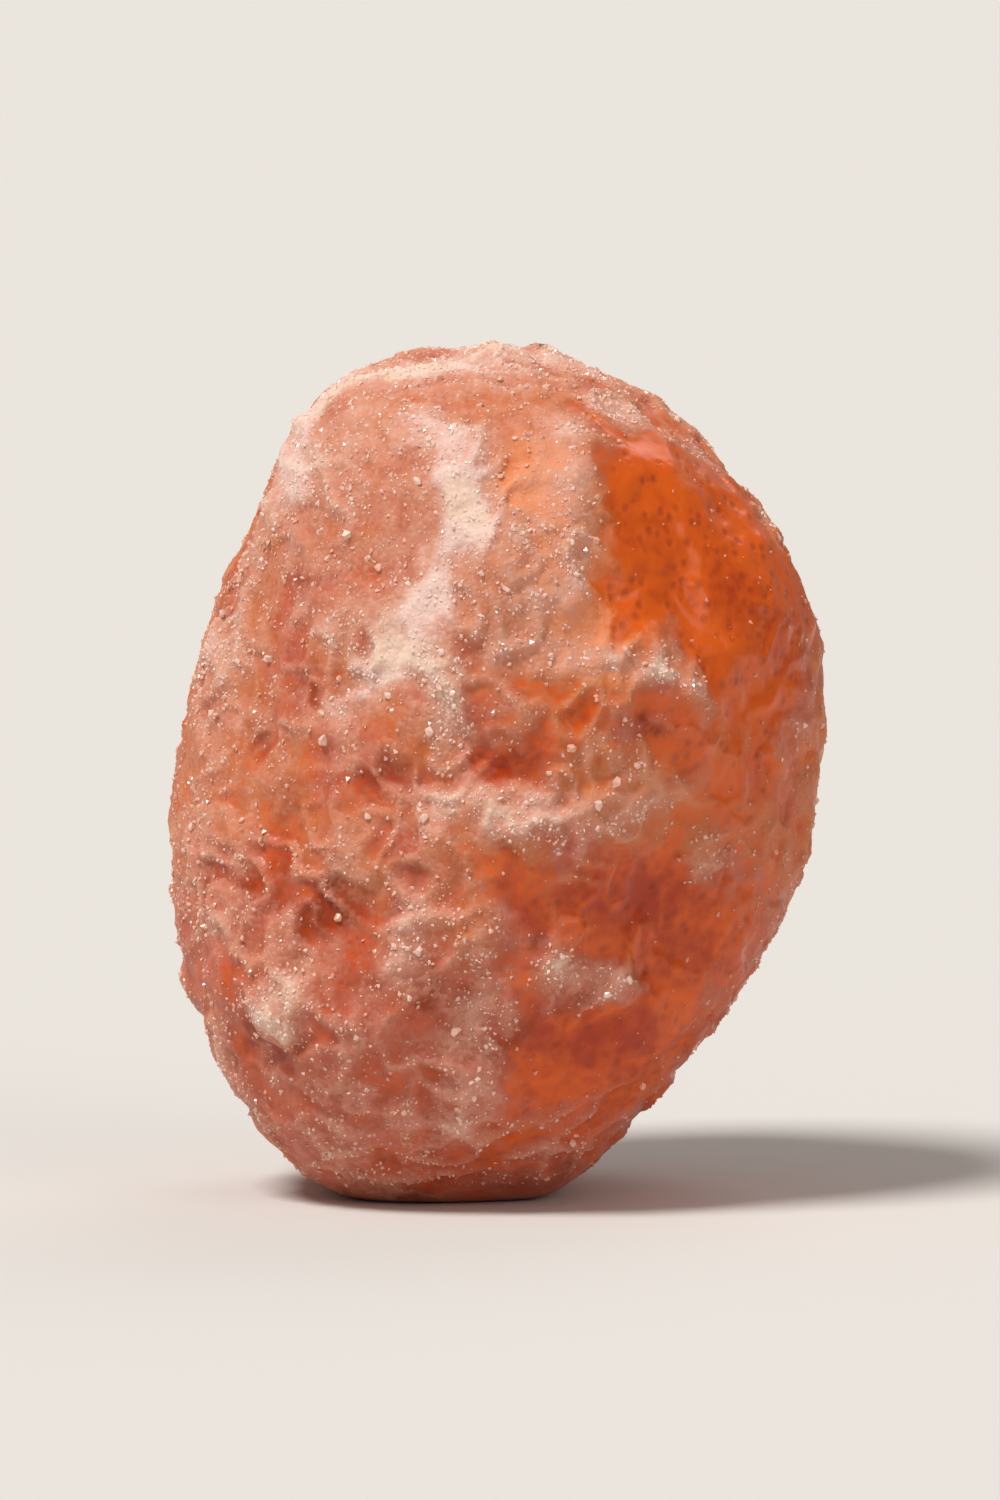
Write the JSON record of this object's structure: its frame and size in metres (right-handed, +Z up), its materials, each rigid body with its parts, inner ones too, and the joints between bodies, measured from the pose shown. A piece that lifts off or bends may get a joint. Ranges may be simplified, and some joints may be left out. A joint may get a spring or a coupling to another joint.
{
  "type": "dried kumquat",
  "caption": "Small oval citrus fruit, candied and dried whole: leathery orange peel sunk into soft cheeks and folds, crusted with sugar, standing on a flat spot at its blossom end.",
  "frame": {"origin": "in the plane of the flat spot it stands on, under the middle of the fruit's box", "axes": "+Z up the fruit, from its blossom end to its stem end; -Y is its front; +X to the right seen from the front"},
  "size_m": [0.0198, 0.019, 0.026],
  "materials": {
    "peel": "candied, dried orange peel under a thin white frosting of sugar, from satin to glossy where it is bare",
    "sugar": "small white to clear sugar crystals"
  },
  "bodies": {
    "root": {"kumquat": "peel"}
  },
  "joints": []
}
